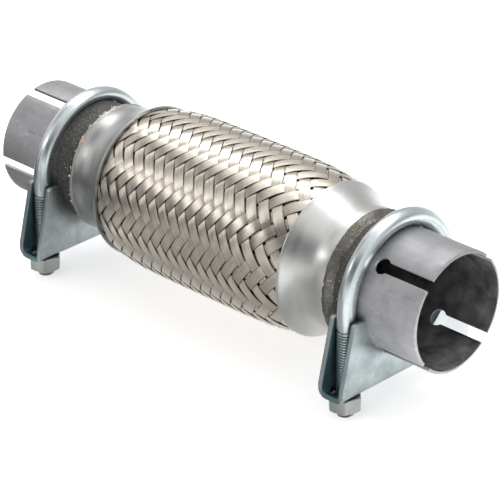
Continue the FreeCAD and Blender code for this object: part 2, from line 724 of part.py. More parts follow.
def build_nut(side, place):
    label = "nut_%s_%s" % (side, place)
    body = doc.addObject("PartDesign::Body", label)
    body.Label = label
    sign_x = "" if side == "right" else "-"
    sign_y = "-" if place == "near" else ""
    turn = "Sizes.%s_nut_turn" % place
    body.Placement = Placement(Vector(0, 0, 0), Rotation(Vector(0, 0, 1), value(turn)))
    body.setExpression("Placement.Base.x", sign_x + CLAMP[side])
    body.setExpression("Placement.Base.y", "%s(%s)" % (sign_y, LEG))
    body.setExpression("Placement.Base.z", "Sizes.nut_stand")
    body.setExpression("Placement.Rotation.Angle", turn)
    hexagon = new_sketch(body, "hexagon_" + label, "XY_Plane")
    corners = []
    for number in range(6):
        corners.append((
            "Sizes.nut_flats / sqrt(3) * cos(%ddeg)" % (60 * number),
            "Sizes.nut_flats / sqrt(3) * sin(%ddeg)" % (60 * number) if number not in (0, 3) else "0"))
    draw_outline(hexagon, corners)
    pad(body, "block_" + label, hexagon, "Sizes.nut_height")
    turned = new_sketch(body, "corners_" + label, "XZ_Plane")
    reach = "(Sizes.nut_flats / sqrt(3))"
    for level, lift in (("0", "Sizes.nut_chamfer * 0.577"),
                        ("Sizes.nut_height", "Sizes.nut_height - Sizes.nut_chamfer * 0.577")):
        draw_outline(turned, [
            ("%s - Sizes.nut_chamfer" % reach, level),
            ("%s + 0.5" % reach, level),
            ("%s + 0.5" % reach, lift),
            (reach, lift),
        ])
    before = body.Shape.Volume
    groove = body.newObject("PartDesign::Groove", "turned_" + label)
    groove.Profile = turned
    groove.ReferenceAxis = (turned, ["V_Axis"])
    groove.Angle = 360
    body.Tip = groove
    doc.recompute()
    if groove.Shape.Volume > before - 0.5:
        raise ValueError(label + " keeps its corners")
    hole = new_sketch(body, "hole_" + label, "XY_Plane")
    draw_circle(hole, "0", "0", "Sizes.rod_radius")
    cut_through(body, "bore_" + label, hole)
    return body


pieces = []
for side in ("left", "right"):
    pieces += [build_sleeve(side), build_cap(side), build_bead(side), build_ring(side)]
    pieces += [build_ubolt(side), build_saddle(side), build_nut(side, "near"), build_nut(side, "far")]
pieces += [build_liner(), build_bellows(), build_braid()]

doc.recompute()
for item in doc.Objects:
    if "Invalid" in item.State or "Error" in item.State:
        raise ValueError(item.Label + " did not build")
os.makedirs("parts", exist_ok=True)
for piece in pieces:
    shape = piece.Shape
    if shape.isNull() or not shape.isValid():
        raise ValueError(piece.Label + " has no valid shape")
    if len(shape.Solids) != 1:
        raise ValueError(piece.Label + " is not one solid")
    shape.exportStep("parts/%s.step" % piece.Label)
    print(piece.Label, round(shape.Volume), [round(number, 1) for number in (
        shape.BoundBox.XMin, shape.BoundBox.XMax, shape.BoundBox.YMin,
        shape.BoundBox.YMax, shape.BoundBox.ZMin, shape.BoundBox.ZMax)])
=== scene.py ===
import math
import random

import bpy
import numpy as np
from bpy.props import FloatProperty, FloatVectorProperty, IntProperty
from mathutils import Matrix, Vector


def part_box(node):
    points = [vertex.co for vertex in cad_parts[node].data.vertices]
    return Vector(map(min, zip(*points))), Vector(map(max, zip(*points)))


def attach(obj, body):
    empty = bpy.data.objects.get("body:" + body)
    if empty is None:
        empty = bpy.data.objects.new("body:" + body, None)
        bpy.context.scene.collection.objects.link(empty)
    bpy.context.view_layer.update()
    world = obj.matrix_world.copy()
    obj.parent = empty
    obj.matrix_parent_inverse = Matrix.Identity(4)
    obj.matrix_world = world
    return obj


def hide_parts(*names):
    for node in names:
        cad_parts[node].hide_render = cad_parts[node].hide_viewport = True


bl_info = {
    "name": "Exhaust flex pipe dressing",
    "version": (1, 0, 0),
    "blender": (4, 5, 0),
    "location": "View3D > Sidebar > Flex pipe",
    "description": "Woven braid, bell caps, welds, threaded clamps and studio for the exhaust flex pipe",
    "category": "Object",
}

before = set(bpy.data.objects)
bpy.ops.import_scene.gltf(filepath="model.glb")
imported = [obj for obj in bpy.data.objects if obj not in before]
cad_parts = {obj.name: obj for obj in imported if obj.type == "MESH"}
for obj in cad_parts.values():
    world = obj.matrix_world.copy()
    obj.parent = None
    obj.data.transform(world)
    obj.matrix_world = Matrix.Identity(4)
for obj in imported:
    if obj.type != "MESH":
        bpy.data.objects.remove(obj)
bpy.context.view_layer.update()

MM = 0.001
TAU = 2 * math.pi
SIDES = {"left": -1.0, "right": 1.0}

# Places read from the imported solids.
SLEEVE_LOW, SLEEVE_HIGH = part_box("sleeve_right")
CAP_LOW, CAP_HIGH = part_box("end_cap_right")
AXIS_Z = (SLEEVE_LOW[2] + SLEEVE_HIGH[2]) / 2
SLEEVE_R = SLEEVE_HIGH[1]
CAP_RIM = CAP_LOW[0]
CAP_END = CAP_HIGH[0]
CAP_R = CAP_HIGH[1]
BRAID_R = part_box("outer_braid")[1][2] - AXIS_Z

# Sizes of the solids that their boxes don't tell. A cap is two opposite bends and a straight neck.
SLEEVE_WALL = 1.5 * MM
CAP_WALL = 1.2 * MM
SHOULDER = 3.0 * MM
HOLLOW = 24.2 * MM
FLARE = math.radians(38)
NECK_R = CAP_R - (SHOULDER + HOLLOW) * (1 - math.cos(FLARE))
NECK_RUN = (SHOULDER + HOLLOW) * math.sin(FLARE)

# Marks on the metal.
WIRES = 8                            # fine wires side by side in a ribbon
FAMILY_SHIFT = 2000.0                # added along the ribbons that lean one way, to tell them apart
FAMILY_PAINTED_SHADE = 0.29                # how much painted shade darkens those ribbons
BORE_R = SLEEVE_R - SLEEVE_WALL
HEAT_FULL, HEAT_END = 88.0 * MM, 93.0 * MM              # where the sleeve is all browned, and clean again
PAINTED_SHADE_FROM, PAINTED_SHADE_TO = AXIS_Z + 6 * MM, AXIS_Z + 22 * MM  # heights over which painted shade darkens the top of the sleeve
COPPER_X, COPPER_TURN = -78.5 * MM, math.radians(137)   # the coppery heat spot on the left weld


def around_pipe(turn, distance):
    """Place (y, z) at a turn about the pipe axis, from the far side over the top."""
    return distance * math.cos(turn), AXIS_Z + distance * math.sin(turn)


# Working on a mesh as by hand.

def alone(piece):
    """Leave only this piece selected and active, in object mode."""
    if bpy.context.object and bpy.context.object.mode != "OBJECT":
        bpy.ops.object.mode_set(mode="OBJECT")
    bpy.ops.object.select_all(action="DESELECT")
    piece.select_set(True)
    bpy.context.view_layer.objects.active = piece


def name_new(name):
    """Name the piece that was just made."""
    piece = bpy.context.object
    piece.name = name
    piece.data.name = name
    return piece


def start_edit():
    """Edit the active piece with all of it selected."""
    bpy.ops.object.mode_set(mode="EDIT")
    bpy.ops.mesh.select_all(action="SELECT")


def end_edit():
    bpy.ops.mesh.select_mode(type="VERT")
    bpy.ops.object.mode_set(mode="OBJECT")


def edit_where(piece, kind, parts, wanted):
    """Edit the active piece with only its wanted faces or edges selected."""
    bpy.ops.object.mode_set(mode="EDIT")
    bpy.ops.mesh.select_mode(type=kind)
    bpy.ops.mesh.select_all(action="DESELECT")
    bpy.ops.object.mode_set(mode="OBJECT")
    for part in getattr(piece.data, parts):
        part.select = wanted(part)
    bpy.ops.object.mode_set(mode="EDIT")


def edit_open_edges():
    """Edit the active piece with only the edges of its holes selected."""
    bpy.ops.object.mode_set(mode="EDIT")
    bpy.ops.mesh.select_mode(type="EDGE")
    bpy.ops.mesh.select_all(action="DESELECT")
    bpy.ops.mesh.select_non_manifold(use_wire=False, use_multi_face=False, use_non_contiguous=False,
                                     use_verts=False, use_boundary=True)


def start_circle(name, radius, centre, turn, vertices):
    """A circle at its place, the start of a lathed or spun piece."""
    bpy.ops.object.select_all(action="DESELECT")
    bpy.ops.mesh.primitive_circle_add(vertices=vertices, radius=radius, location=centre, rotation=turn)
    piece = name_new(name)
    apply_place(piece)
    return piece


def apply_place(piece):
    alone(piece)
    bpy.ops.object.transform_apply(location=True, rotation=True, scale=True)


def apply_modifiers(piece):
    alone(piece)
    for modifier in list(piece.modifiers):
        bpy.ops.object.modifier_apply(modifier=modifier.name)


def close_shell(piece, distance=0.01 * MM):
    """Merge doubled points and turn all faces outwards."""
    alone(piece)
    start_edit()
    bpy.ops.mesh.remove_doubles(threshold=distance)
    bpy.ops.mesh.normals_make_consistent(inside=False)
    end_edit()


def smooth(piece, degrees):
    alone(piece)
    bpy.ops.object.shade_smooth_by_angle(angle=math.radians(degrees))


def join(pieces, name):
    bpy.ops.object.select_all(action="DESELECT")
    for piece in pieces:
        piece.select_set(True)
    bpy.context.view_layer.objects.active = pieces[0]
    bpy.ops.object.join()
    return name_new(name)


def copy_of(base):
    """Copy with its own mesh."""
    copy = base.copy()
    copy.data = base.data.copy()
    bpy.context.collection.objects.link(copy)
    return copy


def lathe(name, profile, vertices):
    """Closed ring about the pipe axis: a circle extruded and scaled along a profile of (x, radius)."""
    x, radius = profile[0]
    piece = start_circle(name, radius, (x, 0, AXIS_Z), (0, math.pi / 2, 0), vertices)
    start_edit()
    for next_x, next_radius in profile[1:]:
        grow = next_radius / radius
        bpy.ops.mesh.extrude_region_move(TRANSFORM_OT_translate={"value": (next_x - x, 0, 0)})
        bpy.ops.transform.resize(value=(1, grow, grow), center_override=(next_x, 0, AXIS_Z))
        x, radius = next_x, next_radius
    end_edit()
    # The first and the last ring are the only open ones.
    edit_open_edges()
    bpy.ops.mesh.bridge_edge_loops()
    end_edit()
    close_shell(piece)
    return piece


def softened_copy(node, name, width, angle=35):
    """Copy of a solid with its sharp edges broken."""
    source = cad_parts[node]
    mesh = source.data.copy()
    mesh.transform(source.matrix_world)
    piece = bpy.data.objects.new(name, mesh)
    bpy.context.collection.objects.link(piece)
    close_shell(piece, 0.002 * MM)
    edge = piece.modifiers.new("edges", "BEVEL")
    edge.width = width
    edge.segments = 2
    edge.limit_method = "ANGLE"
    edge.angle_limit = math.radians(angle)
    edge.use_clamp_overlap = True
    edge.harden_normals = False
    apply_modifiers(piece)
    return piece


def dress(piece, material, slot, *nodes):
    """Hand a finished piece to the frame, in place of the solids it stands for."""
    if material:
        piece.data.materials.clear()
        piece.data.materials.append(material)
    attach(piece, "root")
    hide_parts(*nodes)


# Shader building.

def shade(colour, factor):
    """The colour made darker or lighter."""
    return [min(1, part * factor) for part in colour]


def tint(colour, factors):
    """The colour with its red, green and blue each times a factor."""
    return [part * factor for part, factor in zip(colour, factors)]


def feed(tree, value, socket):
    """Link an output to the socket, or set its number, place or colour."""
    if hasattr(value, "links"):
        tree.links.new(value, socket)
    elif socket.type == "RGBA":
        socket.default_value = (*value, 1.0)
    else:
        socket.default_value = value


def fill(tree, node, **inputs):
    """Feed a node's inputs by name. An underscore stands for a space."""
    for key, value in inputs.items():
        feed(tree, value, node.inputs[key.replace("_", " ")])
    return node


def add_node(tree, kind, **inputs):
    return fill(tree, tree.nodes.new(kind), **inputs)


def math_node(tree, operation, *values):
    made = tree.nodes.new("ShaderNodeMath")
    made.operation = operation
    for value, socket in zip(values, made.inputs):
        feed(tree, value, socket)
    return made.outputs[0]


def times(tree, first, second):
    return math_node(tree, "MULTIPLY", first, second)


def plus(tree, first, second):
    return math_node(tree, "ADD", first, second)


def distance_from(tree, value, middle):
    return math_node(tree, "ABSOLUTE", math_node(tree, "SUBTRACT", value, middle))


def long_side(tree, first, second):
    """Length of the slanting side over two square ones."""
    return math_node(tree, "SQRT", plus(tree, times(tree, first, first), times(tree, second, second)))


def spread(tree, value, low, high, to_low=0, to_high=1, kind="LINEAR"):
    """Carry a value over from one range to another."""
    made = add_node(tree, "ShaderNodeMapRange", Value=value, From_Min=low, From_Max=high, To_Min=to_low,
                    To_Max=to_high)
    made.interpolation_type = kind
    return made.outputs["Result"]


def ramp(tree, value, low, high):
    """Smooth 0 to 1 between two values."""
    return spread(tree, value, low, high, kind="SMOOTHSTEP")


def blend(tree, factor, first, second):
    """Mix of two colours."""
    made = tree.nodes.new("ShaderNodeMix")
    made.data_type = "RGBA"
    made.blend_type = "MIX"
    for value, socket in ((factor, made.inputs[0]), (first, made.inputs[6]), (second, made.inputs[7])):
        feed(tree, value, socket)
    return made.outputs[2]


def layer(tree, tone, mask, low, high, amount, colour):
    """Lay a colour over the tone as the mask goes from low to high, up to an amount."""
    return blend(tree, spread(tree, mask, low, high, 0, amount), tone, colour)


def place(tree, scale=(1, 1, 1), coordinates="Object", offset=(0, 0, 0)):
    """Coordinates of the surface point, stretched and moved."""
    source = tree.nodes.new("ShaderNodeTexCoord").outputs[coordinates]
    return add_node(tree, "ShaderNodeMapping", Vector=source, Location=offset, Scale=scale).outputs["Vector"]


def position(tree, coordinates="Object", offset=(0, 0, 0)):
    """X, Y and Z of the surface point."""
    return add_node(tree, "ShaderNodeSeparateXYZ", Vector=place(tree, (1, 1, 1), coordinates, offset)).outputs


def noise(tree, vector, scale, detail=3.0, rough=0.5):
    made = add_node(tree, "ShaderNodeTexNoise", Vector=vector, Scale=scale, Detail=detail, Roughness=rough)
    return made.outputs["Fac"]


def new_material(name, **inputs):
    """Bare metal, unless the shader's inputs say otherwise."""
    material = bpy.data.materials.new(name)
    material.use_nodes = True
    tree = material.node_tree
    shader = fill(tree, tree.nodes["Principled BSDF"], **{"Metallic": 1.0, **inputs})
    return material, tree, shader


def bump(tree, shader, height, strength, distance):
    made = add_node(tree, "ShaderNodeBump", Height=height, Strength=strength, Distance=distance)
    fill(tree, shader, Normal=made.outputs["Normal"])


def drawn_metal_group():
    """Lengthwise drawing lines of a tube, cloudy mottling and fine specks."""
    group = bpy.data.node_groups.new("Drawn metal", "ShaderNodeTree")
    for label, value in (("Line Scale", 260.0), ("Cloud Scale", 60.0)):
        socket = group.interface.new_socket(label, in_out="INPUT", socket_type="NodeSocketFloat")
        socket.default_value = value
    for label in ("Lines", "Clouds", "Specks"):
        group.interface.new_socket(label, in_out="OUTPUT", socket_type="NodeSocketFloat")
    scales = group.nodes.new("NodeGroupInput").outputs
    plain = place(group)
    fill(group, group.nodes.new("NodeGroupOutput"),
         Lines=noise(group, place(group, (0.03, 1, 1)), scales["Line Scale"], 4.0, 0.65),
         Clouds=noise(group, plain, scales["Cloud Scale"], 5.0, 0.6),
         Specks=noise(group, plain, 1500.0, 2.0))
    return group


def drawn_metal(tree, line_scale, cloud_scale):
    """Lines, Clouds and Specks of the drawn metal group, placed in a material."""
    made = tree.nodes.new("ShaderNodeGroup")
    made.node_tree = bpy.data.node_groups.get("Drawn metal") or drawn_metal_group()
    return fill(tree, made, Line_Scale=line_scale, Cloud_Scale=cloud_scale).outputs


def braid_material(colour):
    """Ribbons of fine wires, streaky along their length, with painted shade along their edges, on the ribbons
    that lean one way and where each float dives.
    """
    material, tree, shader = new_material("braided stainless ribbons", Anisotropic=0.72)
    ribbon = position(tree, "UV")
    wires = math_node(tree, "SINE", times(tree, ribbon["X"], TAU * WIRES))
    streaks = noise(tree, place(tree, (26, 0.25, 1), "UV"), 1.0, 4.0, 0.6)
    patches = noise(tree, place(tree, (0.6, 0.16, 1), "UV"), 1.0, 2.0)
    tone = blend(tree, spread(tree, streaks, 0.3, 0.7), shade(colour, 0.68), shade(colour, 1.30))
    tone = layer(tree, tone, patches, 0.35, 0.7, 0.3, tint(colour, (0.72, 0.70, 0.66)))
    # Painted shade: the ribbons that lean one way are darkened, as they catch less light, and each float is
    # darkened where it dives, as if shaded there.
    leaning = math_node(tree, "GREATER_THAN", ribbon["Y"], FAMILY_SHIFT / 2)
    tone = blend(tree, times(tree, leaning, FAMILY_PAINTED_SHADE), tone, shade(colour, 0.45))
    dive = tree.nodes.new("ShaderNodeAttribute")
    dive.attribute_name = "dive"
    tone = layer(tree, tone, dive.outputs["Fac"], -0.1, 1.0, 0.42, shade(colour, 0.40))
    # Painted shade darkens each ribbon towards its edges, where its neighbours shade it.
    edge_shade = ramp(tree, distance_from(tree, ribbon["X"], 0.5), 0.40, 0.5)
    tone = blend(tree, times(tree, edge_shade, 0.85), tone, shade(colour, 0.2))
    # The wires spread reflections across the ribbon and keep them short along it.
    across_ribbon = tree.nodes.new("ShaderNodeTangent")
    across_ribbon.direction_type = "UV_MAP"
    across_ribbon.uv_map = "UVMap"
    fill(tree, shader, Base_Color=tone, Roughness=spread(tree, streaks, 0.25, 0.75, 0.25, 0.34),
         Tangent=across_ribbon.outputs["Tangent"])
    bump(tree, shader, plus(tree, times(tree, wires, 0.5), times(tree, streaks, 0.9)), 0.24, 0.04 * MM)
    return material


def cap_material(colour):
    """Polished cap with turning lines, smears, and painted shade over the left cap."""
    material, tree, shader = new_material("polished stainless cap")
    drawn = drawn_metal(tree, 900.0, 38.0)
    # Turning lines go round the cap, so they change with the length of the pipe only.
    rings = noise(tree, place(tree, (1, 0.02, 0.02)), 1500.0, 3.0, 0.7)
    smear = noise(tree, place(tree, (1.0, 0.5, 0.5), offset=(0.11, 0.02, 0.05)), 42.0, 3.0, 0.55)
    tone = layer(tree, colour, drawn["Clouds"], 0.35, 0.7, 0.6, shade(colour, 0.84))
    tone = layer(tree, tone, rings, 0.3, 0.8, 0.2, shade(colour, 0.78))
    tone = layer(tree, tone, smear, 0.47, 0.62, 0.65, shade(colour, 0.62))
    tone = layer(tree, tone, drawn["Specks"], 0.68, 0.73, 0.55, shade(colour, 0.40))
    # Painted shade: the left cap is darker all over.
    left_cap_shade = math_node(tree, "LESS_THAN", position(tree)["X"], 0.0)
    tone = blend(tree, times(tree, left_cap_shade, 0.6), tone, shade(colour, 0.52))
    fill(tree, shader, Base_Color=tone, Roughness=spread(tree, drawn["Clouds"], 0.3, 0.7, 0.30, 0.40))
    bump(tree, shader, rings, 0.12, 0.05 * MM)
    return material


def sleeve_material(colour):
    """Drawn tube, with painted shade on its top, browned by the weld and darker in its bore."""
    material, tree, shader = new_material("drawn steel sleeve")
    drawn = drawn_metal(tree, 420.0, 110.0)
    tone = blend(tree, spread(tree, drawn["Lines"], 0.32, 0.68), shade(colour, 0.93), shade(colour, 1.07))
    tone = layer(tree, tone, drawn["Clouds"], 0.40, 0.66, 0.6, shade(colour, 0.74))
    # Long thin scratches from the drawing die, and pale scuffs.
    scratch = noise(tree, place(tree, (0.012, 1, 1)), 900.0, 1.0, 0.4)
    few = times(tree, ramp(tree, scratch, 0.66, 0.72), ramp(tree, drawn["Clouds"], 0.50, 0.58))
    tone = blend(tree, times(tree, few, 0.5), tone, shade(colour, 0.45))
    scuff = noise(tree, place(tree, (0.35, 1, 1), offset=(0.3, 0.2, 0.1)), 240.0, 4.0, 0.7)
    tone = layer(tree, tone, scuff, 0.60, 0.74, 0.6, shade(colour, 1.6))
    tone = layer(tree, tone, drawn["Specks"], 0.64, 0.72, 0.4, shade(colour, 0.5))
    # Painted shade darkens the top of the sleeve.
    high = ramp(tree, position(tree)["Z"], PAINTED_SHADE_FROM, PAINTED_SHADE_TO)
    tone = blend(tree, times(tree, high, 0.6), tone, shade(colour, 0.50))
    # Heat of the weld has browned the tube up to the clamp.
    spot = position(tree, offset=(0, 0, -AXIS_Z))
    wobble = times(tree, math_node(tree, "SUBTRACT", drawn["Clouds"], 0.5), 6 * MM)
    along = plus(tree, math_node(tree, "ABSOLUTE", spot["X"]), wobble)
    heat = ramp(tree, along, HEAT_END, HEAT_FULL)
    browns = (0.105, 0.104, 0.100), (0.28, 0.275, 0.255)
    tone = blend(tree, heat, tone, blend(tree, spread(tree, drawn["Specks"], 0.52, 0.72), *browns))
    # The bore goes darker, in mottled greys.
    bore = ramp(tree, long_side(tree, spot["Y"], spot["Z"]), BORE_R + 0.35 * MM, BORE_R + 0.10 * MM)
    bore_darks = (0.09, 0.09, 0.095), (0.30, 0.30, 0.31)
    tone = blend(tree, bore, tone, blend(tree, spread(tree, drawn["Clouds"], 0.35, 0.7), *bore_darks))
    rough = spread(tree, drawn["Clouds"], 0.3, 0.7, 0.54, 0.66)
    rougher = plus(tree, rough, times(tree, plus(tree, bore, heat), 0.16))
    fill(tree, shader, Base_Color=tone, Roughness=rougher)
    bump(tree, shader, plus(tree, drawn["Lines"], times(tree, drawn["Specks"], 0.3)), 0.12, 0.08 * MM)
    return material


def weld_material():
    """Dark scaled bead, bare metal beside the left cap and with one coppery heat spot."""
    material, tree, shader = new_material("scaled weld bead")
    drawn = drawn_metal(tree, 500.0, 120.0)
    scales = (0.095, 0.090, 0.080), (0.19, 0.182, 0.160)
    tone = blend(tree, spread(tree, drawn["Clouds"], 0.38, 0.66), *scales)
    tone = layer(tree, tone, drawn["Specks"], 0.60, 0.74, 0.8, (0.46, 0.44, 0.38))
    spot = position(tree)
    wavy = plus(tree, spot["X"], times(tree, drawn["Clouds"], 2 * MM))
    bare = ramp(tree, wavy, -(CAP_END + 0.3 * MM), -(CAP_END - 0.2 * MM))
    bare = times(tree, bare, math_node(tree, "LESS_THAN", spot["X"], 0.0))
    tone = blend(tree, bare, tone, (0.36, 0.36, 0.35))
    copper = add_node(tree, "ShaderNodeVectorMath")
    copper.operation = "DISTANCE"
    feed(tree, place(tree), copper.inputs[0])
    feed(tree, (COPPER_X, *around_pipe(COPPER_TURN, NECK_R)), copper.inputs[1])
    ragged = plus(tree, copper.outputs["Value"], times(tree, drawn["Specks"], 4 * MM))
    tone = blend(tree, ramp(tree, ragged, 5.0 * MM, 2.2 * MM), tone, (0.80, 0.53, 0.36))
    fill(tree, shader, Base_Color=tone, Roughness=spread(tree, drawn["Specks"], 0.3, 0.7, 0.62, 0.38))
    bump(tree, shader, drawn["Specks"], 0.5, 0.2 * MM)
    return material


def rod_reflection_lines(tree, tone, colour):
    """Painted reflections: thin dark lines that follow a bent rod round the pipe and down its legs."""
    spot = position(tree, offset=(0, 0, -AXIS_Z))
    out = long_side(tree, spot["Y"], math_node(tree, "MAXIMUM", spot["Z"], 0.0))
    section = add_node(tree, "ShaderNodeCombineXYZ", X=spot["X"], Y=out)
    lines = noise(tree, section.outputs[0], 900.0, 2.0, 0.5)
    return layer(tree, tone, lines, 0.56, 0.68, 0.55, shade(colour, 0.42))


def shaded_channel(tree, tone, colour, middle, half):
    """Painted shade inside a channel, about its middle along the pipe, and painted light towards the far
    side.
    """
    spot = position(tree)
    inside = ramp(tree, distance_from(tree, spot["X"], middle), half + 0.2 * MM, half)
    tone = blend(tree, inside, tone, tint(colour, (0.36, 0.50, 0.56)))
    # Painted light: the sheet gets paler towards the far side.
    bright = ramp(tree, spot["Y"], -4 * MM, 16 * MM)
    return blend(tree, times(tree, bright, 0.35), tone, (0.93, 0.95, 0.95))


def zinc_material(name, colour, rough, mottle, scale, channel=None, bent=False):
    """Mottled zinc plating; for a rod bent=True, with painted reflection lines; for a saddle, with painted
    shade and light about its channel's middle and half width.
    """
    material, tree, shader = new_material(name)
    drawn = drawn_metal(tree, 300.0, scale)
    cells = add_node(tree, "ShaderNodeTexVoronoi", Vector=place(tree), Scale=scale * 9)
    tone = layer(tree, shade(colour, 1.1), drawn["Clouds"], 0.35, 0.68, mottle, shade(colour, 0.62))
    tone = layer(tree, tone, cells.outputs["Distance"], 0.0, 0.8, mottle * 0.5, shade(colour, 0.7))
    tone = layer(tree, tone, drawn["Specks"], 0.60, 0.72, 0.3, shade(colour, 0.5))
    # A bent rod gets painted reflection lines.
    if bent:
        tone = rod_reflection_lines(tree, tone, colour)
    if channel:
        tone = shaded_channel(tree, tone, colour, *channel)
    fill(tree, shader, Base_Color=tone, Roughness=spread(tree, drawn["Clouds"], 0.3, 0.7, *rough))
    bump(tree, shader, plus(tree, drawn["Specks"], drawn["Clouds"]), 0.12, 0.12 * MM)
    return material


def inner_material():
    """Dull steel of what stays inside."""
    material, tree, shader = new_material("dull inner strip")
    drawn = drawn_metal(tree, 300.0, 60.0)
    tone = blend(tree, spread(tree, drawn["Clouds"], 0.3, 0.7), (0.07, 0.068, 0.065), (0.14, 0.135, 0.13))
    fill(tree, shader, Base_Color=tone, Roughness=spread(tree, drawn["Lines"], 0.3, 0.7, 0.4, 0.6))
    bump(tree, shader, drawn["Specks"], 0.2, 0.1 * MM)
    return material


# Sizes and colours that a user would change.

LENGTH = {"unit": "LENGTH", "precision": 5}
COLOUR = {"subtype": "COLOR", "size": 3}


class FlexPipeBraid(bpy.types.PropertyGroup):
    """How the braid is woven"""
    ribbons: IntProperty(
        name="Ribbons", description="Ribbons in each direction, an even number", default=24, min=8, max=40)
    width: FloatProperty(
        name="Ribbon width", description="Width as a share of the pitch", default=0.94, subtype="FACTOR")
    lift: FloatProperty(
        name="Lift", description="Half the rise between under and over", default=0.40 * MM, **LENGTH)
    arch: FloatProperty(
        name="Arch", description="Low values arch the ribbons evenly, high ones flatten their tops",
        default=1.1)
    turn: FloatProperty(
        name="Turn", description="Turn of the whole weave about the axis", default=math.radians(-3.0),
        subtype="ANGLE")
    thickness: FloatProperty(
        name="Thickness", description="Thickness of a ribbon", default=0.26 * MM, **LENGTH)
    dome: FloatProperty(
        name="Dome", description="Fall of a ribbon towards its sides", default=0.07 * MM, **LENGTH)
    pitch: FloatProperty(
        name="Pitch", description="Spacing of the crossings along the pipe", default=3.025 * MM, **LENGTH)
    colour: FloatVectorProperty(
        name="Colour", description="Colour of the wire", default=(0.715, 0.660, 0.575), **COLOUR)


class FlexPipeTube(bpy.types.PropertyGroup):
    """Finish of the caps and sleeves"""
    cap_colour: FloatVectorProperty(
        name="Cap colour", description="Polished stainless steel", default=(0.64, 0.64, 0.63), **COLOUR)
    sleeve_colour: FloatVectorProperty(
        name="Sleeve colour", description="Drawn steel tube", default=(0.49, 0.49, 0.505), **COLOUR)
    edge: FloatProperty(
        name="Edge", description="Width of the broken edges", default=0.22 * MM, **LENGTH)


class FlexPipeClamp(bpy.types.PropertyGroup):
    """Sizes and finish of the clamps"""
    rod: FloatProperty(
        name="Rod radius", description="Radius of the bolt rod", default=4.0 * MM, **LENGTH)
    thread_pitch: FloatProperty(
        name="Thread pitch", description="Pitch of the metric thread", default=1.25 * MM, **LENGTH)
    thread_top: FloatProperty(
        name="Thread top", description="Start of the thread below the pipe axis", default=8.0 * MM, **LENGTH)
    sheet: FloatProperty(
        name="Saddle sheet", description="Thickness of the saddle", default=2.4 * MM, **LENGTH)
    left_press: FloatProperty(
        name="Left press", description="Share that the tight left bow is pressed flat", default=0.24,
        subtype="FACTOR")
    bolt_colour: FloatVectorProperty(
        name="Bolt colour", description="Bright zinc", default=(0.585, 0.64, 0.65), **COLOUR)
    sheet_colour: FloatVectorProperty(
        name="Saddle colour", description="Mottled zinc", default=(0.43, 0.485, 0.495), **COLOUR)
    nut_colour: FloatVectorProperty(
        name="Nut colour", description="Satin zinc", default=(0.41, 0.43, 0.415), **COLOUR)


class FlexPipeStudio(bpy.types.PropertyGroup):
    """Floor and light of the studio"""
    floor_colour: FloatVectorProperty(
        name="Floor colour", description="Pale floor", default=(0.90, 0.90, 0.90), **COLOUR)
    top_light: FloatProperty(
        name="Top light", description="Power of the lamp above", default=9.5, unit="POWER")
    front_light: FloatProperty(
        name="Front light", description="Power of the lamp by the camera", default=3.2, unit="POWER")
    room_light: FloatProperty(
        name="Room light", description="Level of the light from all round", default=0.75)


# The braid.

WEAVE_GAP = 0.12 * MM           # between the ribbons and the inside of a cap
BARREL_POWER = 5                # the higher, the later the barrel falls towards its ends
GAP_POWER = 12                  # the higher, the nearer to the rim the ribbons go down to that gap
WEAVE_RUN = 35.1                # crossings that a ribbon makes from end to end
WEAVE_SHIFT = 0.25              # of a crossing, between the ends of the two families
EVEN_CROSSINGS = 7              # on each side of the middle, past which the weave gets looser
LOOSER_LEFT, LOOSER_RIGHT = 0.035 * MM, 0.0625 * MM
WEAVE_MIDDLE = 0.25 * MM        # place of the middle crossing
RIBBON_STEPS, RIBBON_ACROSS = 208, 3


def barrel(x):
    """Outside radius of the braid at x, and inside the cap beyond its rim."""
    far = np.abs(x)
    past = np.maximum(far - CAP_RIM, 0)
    bend = SHOULDER - CAP_WALL
    lip = CAP_R - CAP_WALL
    out = BRAID_R - (BRAID_R - lip) * np.minimum(far / CAP_RIM, 1.0) ** BARREL_POWER
    shoulder = CAP_R - SHOULDER + np.sqrt(np.maximum(bend ** 2 - past ** 2, 1e-9))
    hollow = NECK_R + HOLLOW - np.sqrt((HOLLOW + CAP_WALL) ** 2 - (NECK_RUN - past) ** 2)
    inside = np.where(past < bend * math.sin(FLARE), shoulder, hollow)
    return np.where(far > CAP_RIM, inside - WEAVE_GAP, out - WEAVE_GAP * (far / CAP_RIM) ** GAP_POWER)


def along_pipe(crossing, pitch):
    """Place along the pipe of a crossing counted from the middle."""
    past_even = np.maximum(np.abs(crossing) - EVEN_CROSSINGS, 0) ** 2
    looser = np.where(crossing > 0, LOOSER_RIGHT, -LOOSER_LEFT)
    return pitch * crossing + looser * past_even + WEAVE_MIDDLE


